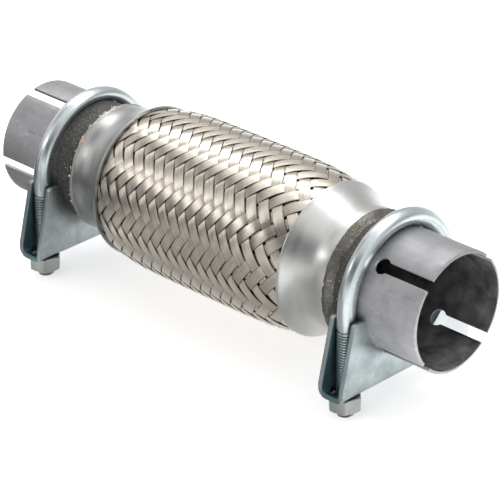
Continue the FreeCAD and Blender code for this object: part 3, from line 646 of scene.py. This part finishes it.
def make_ribbon(settings, name, lean, phase):
    """One ribbon from cap to cap: a strip grid laid over the barrel, then given its thickness."""
    bpy.ops.object.select_all(action="DESELECT")
    bpy.ops.mesh.primitive_grid_add(x_subdivisions=RIBBON_STEPS, y_subdivisions=RIBBON_ACROSS, size=1,
                                    calc_uvs=True)
    piece = name_new(name)
    mesh = piece.data
    flat = np.empty(len(mesh.vertices) * 3)
    mesh.vertices.foreach_get("co", flat)
    flat = flat.reshape(-1, 3)
    run = flat[:, 0] * WEAVE_RUN - lean * WEAVE_SHIFT
    side = flat[:, 1] * 2
    # Ribbons keep their width where the crossings spread.
    before = along_pipe(lean * run - 0.5, settings.pitch)
    spacing = (along_pipe(lean * run + 0.5, settings.pitch) - before) / settings.pitch
    aside = side * (settings.width / 2 / np.sqrt(spacing))
    x = along_pipe(lean * (run - aside), settings.pitch)
    # A ribbon goes over two and under two, and dives between them.
    beat = math.pi / 2 * (phase + run - 0.5)
    rise = -lean * settings.lift * np.tanh(settings.arch * np.cos(beat)) / math.tanh(settings.arch)
    radius = barrel(x) - settings.lift + rise - settings.dome * side ** 2
    theta = math.pi / settings.ribbons * (aside + run) + settings.turn
    points = np.stack([x, radius * np.cos(theta), AXIS_Z + radius * np.sin(theta)], axis=1)
    mesh.vertices.foreach_set("co", points.ravel())
    # The tilt of each float where it dives, which the braid material turns into painted shade.
    dive = mesh.attributes.new("dive", "FLOAT", "POINT")
    dive.data.foreach_set("value", -lean * np.sin(beat))
    corners = np.empty(len(mesh.loops), dtype=np.int32)
    mesh.loops.foreach_get("vertex_index", corners)
    uv = np.stack([side[corners] / 2 + 0.5, run[corners]], axis=1)
    mesh.uv_layers[0].data.foreach_set("uv", uv.ravel())
    mesh.update()
    # Turn the faces outwards before the wall gets its thickness.
    middle = mesh.polygons[len(mesh.polygons) // 2]
    if middle.normal.dot(Vector((0, middle.center.y, middle.center.z - AXIS_Z))) < 0:
        mesh.flip_normals()
    wall = piece.modifiers.new("thickness", "SOLIDIFY")
    wall.thickness = settings.thickness
    wall.offset = -1
    apply_modifiers(piece)
    return piece


def weave_braid(settings):
    """All ribbons of both families. Each has its own stretch of the streaks."""
    dice = random.Random(7)
    to_axis = Matrix.Translation((0, 0, AXIS_Z))
    pieces = []
    for lean in (-1, 1):
        bases = {phase: make_ribbon(settings, "ribbon", lean, phase) for phase in (0, 2)}
        for index in range(settings.ribbons):
            copy = copy_of(bases[2 * (index % 2)])
            turn = Matrix.Rotation(TAU * index / settings.ribbons, 4, "X")
            copy.data.transform(to_axis @ turn @ to_axis.inverted())
            layer_uv = copy.data.uv_layers[0].data
            uv = np.empty(len(layer_uv) * 2)
            layer_uv.foreach_get("uv", uv)
            uv[1::2] += dice.uniform(0, 900) + (FAMILY_SHIFT if lean < 0 else 0)
            layer_uv.foreach_set("uv", uv)
            pieces.append(copy)
        for base in bases.values():
            bpy.data.objects.remove(base)
    return join(pieces, "woven_braid")


class FLEXPIPE_OT_braid(bpy.types.Operator):
    """Weave the braid of flat ribbons, two over and two under"""
    bl_idname = "flexpipe.braid"
    bl_label = "Braid"

    def execute(self, context):
        settings = context.scene.flexpipe_braid
        piece = weave_braid(settings)
        smooth(piece, 50)
        dress(piece, braid_material(settings.colour), "braid_wire", "outer_braid")
        return {"FINISHED"}


# The caps.

CAP_LIP = 0.45 * MM             # round edge of the rolled rim
RIM_ROUND = 0.14 * MM
NECK_ROUND = 0.5 * MM
NECK_CORNER = 0.12 * MM         # what the round takes off the neck's corner, each way
RIM_LEAN = 2.0                  # degrees at which the shoulder starts


def arc(centre_x, centre_r, radius, start, end, count):
    return [(centre_x + radius * math.sin(math.radians(a)), centre_r + radius * math.cos(math.radians(a)))
            for a in np.linspace(start, end, count)]


def cap_profile():
    """Half section of the bell cap: shoulder, hollow, neck, the same inside, and the rolled rim."""
    flare = math.degrees(FLARE)
    shoulder = (CAP_RIM, CAP_R - SHOULDER)
    hollow = (CAP_RIM + NECK_RUN, NECK_R + HOLLOW)
    inside = NECK_R - CAP_WALL
    outer = arc(*shoulder, SHOULDER, RIM_LEAN, flare, 16) + arc(*hollow, -HOLLOW, flare, 0, 16)[1:]
    end = [(CAP_END - NECK_ROUND, NECK_R), (CAP_END - NECK_CORNER, NECK_R - NECK_CORNER),
           (CAP_END, NECK_R - NECK_ROUND), (CAP_END, inside + 0.02 * MM), (CAP_END - 1 * MM, inside)]
    inner = arc(*hollow, -(HOLLOW + CAP_WALL), 0, flare, 12)
    inner += arc(*shoulder, SHOULDER - CAP_WALL, flare, RIM_LEAN, 12)[1:]
    rim = [(CAP_RIM + CAP_LIP * 0.3, CAP_R - CAP_WALL + RIM_ROUND), (CAP_RIM, CAP_R - CAP_WALL + CAP_LIP),
           (CAP_RIM, CAP_R - CAP_LIP), (CAP_RIM + CAP_LIP * 0.3, CAP_R - RIM_ROUND)]
    return outer + end + inner + rim


class FLEXPIPE_OT_caps(bpy.types.Operator):
    """Turn the two bell caps"""
    bl_idname = "flexpipe.caps"
    bl_label = "Bell caps"

    def execute(self, context):
        material = cap_material(context.scene.flexpipe_tube.cap_colour)
        for side, sign in SIDES.items():
            piece = lathe("bell_cap_" + side, [(sign * x, r) for x, r in cap_profile()], 192)
            smooth(piece, 50)
            dress(piece, material, "cap_steel", "end_cap_" + side)
        return {"FINISHED"}


# The welds. Section: distance past the neck's end and height over the sleeve, in mm.

WELD_SECTION = [(-0.3, 2.20), (0.0, 2.37), (0.6, 2.55), (1.4, 2.47), (2.3, 1.80), (3.1, 1.00), (3.9, 0.38),
                (4.5, 0.05)]
WELD_FOOT = [(4.5, -0.2), (-0.3, -0.2)]
RIPPLE_SIZE, RIPPLE_HEIGHT, RIPPLE_LEVEL = 2.2 * MM, 0.5 * MM, 0.62
BEADS = {"left": 150, "right": 60}
TOE, TOE_SCATTER = 1.5, 0.2     # in mm past the neck's end
THROWN = (-0.2, 9.0)
SMALL_BEAD, LARGE_BEAD, SMALL_SHARE = (0.09, 0.22), (0.25, 0.42), 0.85


def weld_radius(past_neck):
    """Radius of the weld, or of the bare tube past it, at a distance in mm past the neck."""
    distances, heights = zip(*WELD_SECTION)
    return SLEEVE_R + float(np.interp(past_neck, distances, heights, right=0.0)) * MM


def spatter(side, sign, material, dice):
    """Small pale beads thrown out of the weld, most of the left ones along its outer toe; their pale colour
    also paints their glints.
    """
    bpy.ops.object.select_all(action="DESELECT")
    bpy.ops.mesh.primitive_ico_sphere_add(subdivisions=1, radius=1)
    base = name_new("spatter_bead")
    base.data.transform(Matrix.Diagonal((1, 1, 0.6, 1)))
    beads = []
    for index in range(BEADS[side]):
        on_toe = index % 3 > 0 and side == "left"
        x = CAP_END + (dice.gauss(TOE, TOE_SCATTER) if on_toe else dice.uniform(*THROWN)) * MM
        turn = dice.uniform(0, TAU)
        small = dice.random() < SMALL_SHARE
        size = dice.uniform(*(SMALL_BEAD if small else LARGE_BEAD)) * MM
        if on_toe:
            size *= dice.uniform(0.9, 1.9)
        spot = Matrix.Translation((sign * x, *around_pipe(turn, weld_radius((x - CAP_END) / MM))))
        copy = copy_of(base)
        copy.data.transform(spot @ Matrix.Rotation(turn - math.pi / 2, 4, "X") @ Matrix.Scale(size, 4))
        copy.data.materials.append(material)
        beads.append(copy)
    bpy.data.objects.remove(base)
    return beads


class FLEXPIPE_OT_welds(bpy.types.Operator):
    """Run the weld round each neck, with its ripples and spatter"""
    bl_idname = "flexpipe.welds"
    bl_label = "Weld beads"

    def execute(self, context):
        material = weld_material()
        # The spatter is paler than the bead, and its pale colour also stands in for glints: partly painted
        # highlight.
        bright = zinc_material("bright weld spatter", (0.82, 0.79, 0.72), (0.25, 0.4), 0.3, 300.0)
        bright.node_tree.nodes["Principled BSDF"].inputs["Metallic"].default_value = 0.4
        dice = random.Random(31)
        ripple = bpy.data.textures.new("weld ripple", "CLOUDS")
        ripple.noise_scale = RIPPLE_SIZE
        for side, sign in SIDES.items():
            name = "weld_seam_" + side
            section = WELD_SECTION + WELD_FOOT
            profile = [(sign * (CAP_END + x * MM), SLEEVE_R + rise * MM) for x, rise in section]
            piece = lathe(name, profile, 320)
            swell = piece.modifiers.new("ripple", "DISPLACE")
            swell.texture = ripple
            swell.strength = RIPPLE_HEIGHT
            swell.mid_level = RIPPLE_LEVEL
            apply_modifiers(piece)
            piece.data.materials.append(material)
            piece = join([piece] + spatter(side, sign, bright, dice), name)
            smooth(piece, 60)
            dress(piece, None, "weld_metal", "weld_bead_" + side)
        return {"FINISHED"}


# The clamps.

THREAD_DEPTH = 0.62             # of the pitch
RIDGE_FOOT, RIDGE_TOP = (0.20, 0.80), (0.42, 0.58)   # of the pitch, up the leg
RIDGE_SINK, RIDGE_GAP = 0.05 * MM, 0.02 * MM         # foot into the core, top inside the rod's radius
RIDGE_START = 0.3 * MM          # over the leg's end
END_CHAMFER = 0.5 * MM
BRIGHT_END = 0.9 * MM           # the core is bright zinc up to here and shaded above
SHANK_TAPER, SHANK_RUN_OUT = 0.72 * MM, 0.9 * MM     # where the shank goes over into the thread
BOW_GAP = 0.05 * MM             # keeps the bow clear of the solids' box


def threaded_end(settings, x, y, low, high, zinc, groove):
    """Core and ridge of the thread on one leg, from low to high."""
    rod, pitch = settings.rod, settings.thread_pitch
    root = rod - THREAD_DEPTH * pitch
    bpy.ops.object.select_all(action="DESELECT")
    bpy.ops.mesh.primitive_cylinder_add(vertices=40, radius=root, depth=high - low,
                                        location=(x, y, (low + high) / 2))
    core = name_new("thread_core")
    apply_place(core)
    edit_where(core, "FACE", "polygons", lambda face: face.normal.z < -0.9)
    bpy.ops.mesh.bevel(offset=END_CHAMFER, segments=2, affect="EDGES")
    end_edit()
    # The ridge is a small section of four points wound up the leg.
    bpy.ops.object.select_all(action="DESELECT")
    bpy.ops.mesh.primitive_circle_add(vertices=4, radius=0.001, location=(0, 0, 0))
    ridge = name_new("thread_ridge")
    foot, top = root - RIDGE_SINK, rod - RIDGE_GAP
    section = [(foot, RIDGE_FOOT[0]), (top, RIDGE_TOP[0]), (top, RIDGE_TOP[1]), (foot, RIDGE_FOOT[1])]
    for vertex, (out, up) in zip(ridge.data.vertices, section):
        vertex.co = (out, 0, up * pitch)
    winding = ridge.modifiers.new("winding", "SCREW")
    winding.axis = "Z"
    winding.steps = winding.render_steps = 28
    winding.screw_offset = pitch
    winding.iterations = int((high - low - 1.0 * MM) / pitch)
    winding.use_merge_vertices = True
    winding.merge_threshold = 0.001 * MM
    apply_modifiers(ridge)
    edit_open_edges()
    bpy.ops.mesh.fill()
    end_edit()
    ridge.data.transform(Matrix.Translation((x, y, low + RIDGE_START)))
    close_shell(ridge, 0.002 * MM)
    core.data.materials.append(groove)
    core.data.materials.append(zinc)
    for face in core.data.polygons:
        face.material_index = 1 if face.center.z < low + BRIGHT_END else 0
    ridge.data.materials.append(zinc)
    return [core, ridge]


def press_bow(piece, inner, press):
    """Press the bow against the tube: its section gets thinner above the legs, from outside."""
    for vertex in piece.data.vertices:
        y, z = vertex.co.y, vertex.co.z - AXIS_Z
        if z <= 0:
            continue
        radius = math.hypot(y, z)
        above_legs = min(1.0, z / radius * 1.6)
        wanted = inner + (radius - inner) * (1 - press * above_legs)
        vertex.co.y = y * wanted / radius
        vertex.co.z = AXIS_Z + z * wanted / radius


def bent_rod(settings, name, x, leg, press):
    """The U: a rod section spun over the tube and pulled down on both sides."""
    rod = settings.rod - BOW_GAP
    shank = AXIS_Z - settings.thread_top
    piece = start_circle(name, rod, (x, leg, AXIS_Z), (0, 0, 0), 40)
    start_edit()
    bpy.ops.mesh.spin(steps=72, angle=-math.pi, center=(x, 0, AXIS_Z), axis=(1, 0, 0))
    end_edit()
    for sign in (1, -1):
        points = piece.data.vertices

        def at_end(edge):
            ends = [points[index].co for index in edge.vertices]
            return all(abs(p.z - AXIS_Z) < 0.001 * MM and p.y * sign > 0 for p in ends)

        edit_where(piece, "EDGE", "edges", at_end)
        taper = (rod - SHANK_TAPER) / rod
        bpy.ops.mesh.extrude_region_move(TRANSFORM_OT_translate={"value": (0, 0, shank - AXIS_Z)})
        bpy.ops.mesh.extrude_region_move(TRANSFORM_OT_translate={"value": (0, 0, -SHANK_RUN_OUT)})
        bpy.ops.transform.resize(value=(taper, taper, 1), center_override=(x, sign * leg, shank))
        bpy.ops.mesh.edge_face_add()
        end_edit()
    close_shell(piece)
    press_bow(piece, leg - rod, press)
    return piece


class FLEXPIPE_OT_bolts(bpy.types.Operator):
    """Bend the two U-bolts and cut their threads"""
    bl_idname = "flexpipe.bolts"
    bl_label = "U-bolts"

    def execute(self, context):
        settings = context.scene.flexpipe_clamp
        zinc = zinc_material("bright zinc bolt", settings.bolt_colour, (0.26, 0.36), 0.30, 90.0, bent=True)
        in_shade = shade(settings.bolt_colour, 0.22)
        groove = zinc_material("shaded thread groove", in_shade, (0.4, 0.5), 0.3, 90.0)
        for side in SIDES:
            low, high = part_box("ubolt_" + side)
            x = (low[0] + high[0]) / 2
            leg = high[1] - settings.rod
            bottom, top = low[2] + 0.02 * MM, AXIS_Z - settings.thread_top - 0.1 * MM
            bow = bent_rod(settings, "bolt_rod", x, leg, settings.left_press if side == "left" else 0.0)
            pieces = [bow]
            for y in (-leg, leg):
                pieces += threaded_end(settings, x, y, bottom, top, zinc, groove)
            bow.data.materials.append(zinc)
            piece = join(pieces, "clamp_bolt_" + side)
            smooth(piece, 40)
            dress(piece, None, "zinc_bolt", "ubolt_" + side)
        return {"FINISHED"}


class FLEXPIPE_OT_saddles(bpy.types.Operator):
    """Dress the stamped saddles and their nuts"""
    bl_idname = "flexpipe.saddles"
    bl_label = "Saddles and nuts"

    def execute(self, context):
        settings = context.scene.flexpipe_clamp
        satin = zinc_material("satin zinc nut", settings.nut_colour, (0.36, 0.5), 0.4, 150.0)
        for side in SIDES:
            low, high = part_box("saddle_" + side)
            channel = ((low[0] + high[0]) / 2, (high[0] - low[0]) / 2 - settings.sheet + 0.3 * MM)
            # The sheet carries painted shade in its channel and painted light towards its far side.
            sheet = zinc_material("mottled zinc sheet " + side, settings.sheet_colour, (0.34, 0.50), 0.8,
                                  110.0, channel)
            piece = softened_copy("saddle_" + side, "stamped_saddle_" + side, 0.3 * MM)
            smooth(piece, 30)
            dress(piece, sheet, "zinc_sheet", "saddle_" + side)
            for leg in ("near", "far"):
                node = "nut_%s_%s" % (side, leg)
                piece = softened_copy(node, "hex_" + node, 0.25 * MM, 25)
                smooth(piece, 30)
                dress(piece, satin, "zinc_nut", node)
        return {"FINISHED"}


class FLEXPIPE_OT_sleeves(bpy.types.Operator):
    """Dress the slotted sleeves"""
    bl_idname = "flexpipe.sleeves"
    bl_label = "Sleeves"

    def execute(self, context):
        settings = context.scene.flexpipe_tube
        material = sleeve_material(settings.sleeve_colour)
        for side in SIDES:
            piece = softened_copy("sleeve_" + side, "slotted_sleeve_" + side, settings.edge)
            smooth(piece, 30)
            dress(piece, material, "sleeve_steel", "sleeve_" + side)
        return {"FINISHED"}


class FLEXPIPE_OT_inside(bpy.types.Operator):
    """Give the bellows, liner and rings their dull steel"""
    bl_idname = "flexpipe.inside"
    bl_label = "Inside"

    def execute(self, context):
        material = inner_material()
        for node in ("bellows", "inner_liner", "inner_ring_left", "inner_ring_right"):
            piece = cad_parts[node]
            piece.data.materials.clear()
            piece.data.materials.append(material)
        return {"FINISHED"}


# The studio. Lamps and cards stand along the pipe, so that they make long bands in the metal.

CARD_DISTANCE = 0.75
CARD_START, CARD_END = -1.9, 1.3
FLOOR_GLOW = 0.46               # makes the pale floor plain white to the camera
EYE = (0.78112936, -0.79937841, 0.59857230)
EYE_RIGHT = (0.71793864, 0.69610609, 0.00064668)
EYE_UP = (-0.31442020, 0.32345252, 0.89247880)
EYE_BACK = (0.62105076, -0.64094834, 0.45108887)
EYE_LENS, EYE_SENSOR = 205.1076, 36


def long_lamp(name, x, turn, distance, width, height, power):
    """Strip lamp along the pipe, at an angle in degrees about it, that faces its axis."""
    lamp = bpy.data.lights.new(name, "AREA")
    lamp.shape = "RECTANGLE"
    lamp.size = width
    lamp.size_y = height
    lamp.energy = power
    holder = bpy.data.objects.new(name, lamp)
    bpy.context.collection.objects.link(holder)
    holder.location = (x, *around_pipe(math.radians(turn), distance))
    to_axis = Vector((x, 0, 0.05)) - holder.location
    holder.rotation_euler = to_axis.to_track_quat("-Z", "Y").to_euler()


def seen_directly(tree):
    """1 for rays from the camera, off metal or through glass, and 0 for the rest."""
    path = tree.nodes.new("ShaderNodeLightPath").outputs
    seen = math_node(tree, "MAXIMUM", path["Is Camera Ray"], path["Is Glossy Ray"])
    return math_node(tree, "MAXIMUM", seen, path["Is Transmission Ray"])


def card(name, first, second, level, softness, start=CARD_START, end=CARD_END):
    """Long grey card beside the pipe, between two lines of (y, z), that only reflections see.
    It fades to see-through at its edges, so that it leaves no hard line in the metal."""
    mesh = bpy.data.meshes.new(name)
    mesh.from_pydata([(start, *first), (end, *first), (end, *second), (start, *second)], [], [(0, 1, 2, 3)])
    for loop, uv in zip(mesh.uv_layers.new(name="UVMap").data, ((0, 0), (1, 0), (1, 1), (0, 1))):
        loop.uv = uv
    piece = bpy.data.objects.new(name, mesh)
    bpy.context.collection.objects.link(piece)
    material, tree, shader = new_material(
        name, Metallic=0.0, Roughness=1.0, Base_Color=(0, 0, 0), Specular_IOR_Level=0.0,
        Emission_Color=(level, level, level), Emission_Strength=1.0)
    spot = position(tree, "UV")
    off_middle = distance_from(tree, spot["Y"], 0.5)
    off_centre = distance_from(tree, spot["X"], 0.5)
    fill(tree, shader, Alpha=times(tree, ramp(tree, off_middle, 0.5, 0.5 - 0.22 * softness),
                                   ramp(tree, off_centre, 0.5, 0.47)))
    mesh.materials.append(material)
    piece.visible_camera = False
    piece.visible_shadow = False
    piece.visible_diffuse = False


def card_round_pipe(name, first, second, *rest):
    """Card between two angles about the pipe, in degrees."""
    lines = [around_pipe(math.radians(angle), CARD_DISTANCE) for angle in (first, second)]
    card(name, *lines, *rest)


def lay_floor(colour):
    bpy.ops.object.select_all(action="DESELECT")
    bpy.ops.mesh.primitive_plane_add(size=8, location=(0, 0, 0))
    floor = name_new("studio_floor")
    material, tree, shader = new_material(
        "pale floor", Metallic=0.0, Roughness=0.8, Base_Color=colour, Specular_IOR_Level=0.1,
        Emission_Color=(1, 1, 1))
    fill(tree, shader, Emission_Strength=times(tree, seen_directly(tree), FLOOR_GLOW))
    floor.data.materials.append(material)


def light_room(scene, strength):
    """Even light all round, which the camera and the metal see as plain white."""
    world = bpy.data.worlds.new("studio")
    world.use_nodes = True
    scene.world = world
    tree = world.node_tree
    room = fill(tree, tree.nodes["Background"], Color=(1, 1, 1), Strength=strength)
    white = add_node(tree, "ShaderNodeBackground", Color=(1, 1, 1), Strength=1.0)
    mix = tree.nodes.new("ShaderNodeMixShader")
    for value, socket in zip((seen_directly(tree), room.outputs[0], white.outputs[0]), mix.inputs):
        feed(tree, value, socket)
    fill(tree, tree.nodes["World Output"], Surface=mix.outputs[0])


def set_camera(scene):
    lens = bpy.data.cameras.new("camera")
    lens.lens = EYE_LENS
    lens.sensor_width = EYE_SENSOR
    lens.sensor_fit = "HORIZONTAL"
    lens.clip_end = 50
    eye = bpy.data.objects.new("camera", lens)
    bpy.context.collection.objects.link(eye)
    turn = Matrix((EYE_RIGHT, EYE_UP, EYE_BACK)).transposed().to_4x4()
    eye.matrix_world = Matrix.Translation(EYE) @ turn
    scene.camera = eye


class FLEXPIPE_OT_stage(bpy.types.Operator):
    """Set the floor, lamps and camera"""
    bl_idname = "flexpipe.stage"
    bl_label = "Studio"

    def execute(self, context):
        settings = context.scene.flexpipe_studio
        lay_floor(settings.floor_colour)
        light_room(context.scene, settings.room_light)
        long_lamp("top lamp", -0.25, 70, 1.0, 2.1, 0.34, settings.top_light)
        long_lamp("front lamp", -0.2, 146, 1.1, 1.9, 0.12, settings.front_light)
        card_round_pipe("card_above", 88, 136, 0.16, 1.2, -0.85, -0.44)
        card_round_pipe("card_front", 152, 190, 0.05, 1.1, -0.85, -0.44)
        card_round_pipe("card_cap", 122, 172, 0.03, 0.9, -0.26, 0.7)
        card_round_pipe("card_left", 122, 196, 0.18, 0.8, -3.4, -1.35)
        card_round_pipe("card_behind", 4, 58, 0.62, 1.2)
        card("card_floor", (0.0, 0.001), (-0.75, 0.001), 0.52, 0.3, -0.17, 0.10)
        card("card_under", (0.02, 0.001), (-0.75, 0.001), 0.13, 0.25, -1.9, -0.09)
        set_camera(context.scene)
        context.scene.view_settings.view_transform = "Standard"
        return {"FINISHED"}


class FLEXPIPE_PT_panel(bpy.types.Panel):
    """Everything that dresses the flex pipe"""
    bl_label = "Flex pipe"
    bl_idname = "FLEXPIPE_PT_panel"
    bl_space_type = "VIEW_3D"
    bl_region_type = "UI"
    bl_category = "Flex pipe"

    def draw(self, context):
        for group in SETTINGS:
            settings = getattr(context.scene, group)
            box = self.layout.box()
            for name in settings.__annotations__:
                box.prop(settings, name)
        for kind in OPERATORS:
            self.layout.operator(kind.bl_idname)


OPERATORS = (FLEXPIPE_OT_braid, FLEXPIPE_OT_caps, FLEXPIPE_OT_welds, FLEXPIPE_OT_bolts, FLEXPIPE_OT_sleeves,
             FLEXPIPE_OT_saddles, FLEXPIPE_OT_inside, FLEXPIPE_OT_stage)
SETTINGS = {"flexpipe_braid": FlexPipeBraid, "flexpipe_tube": FlexPipeTube, "flexpipe_clamp": FlexPipeClamp,
            "flexpipe_studio": FlexPipeStudio}


def register():
    for kind in (*SETTINGS.values(), *OPERATORS, FLEXPIPE_PT_panel):
        bpy.utils.register_class(kind)
    for name, kind in SETTINGS.items():
        setattr(bpy.types.Scene, name, bpy.props.PointerProperty(type=kind))


def unregister():
    for name in SETTINGS:
        delattr(bpy.types.Scene, name)
    for kind in (FLEXPIPE_PT_panel, *reversed(OPERATORS), *SETTINGS.values()):
        bpy.utils.unregister_class(kind)


def main():
    register()
    bpy.ops.object.select_all(action="DESELECT")
    bpy.ops.flexpipe.braid()
    bpy.ops.flexpipe.caps()
    bpy.ops.flexpipe.welds()
    bpy.ops.flexpipe.bolts()
    bpy.ops.flexpipe.sleeves()
    bpy.ops.flexpipe.saddles()
    bpy.ops.flexpipe.inside()
    bpy.ops.flexpipe.stage()


if __name__ == "__main__":
    main()
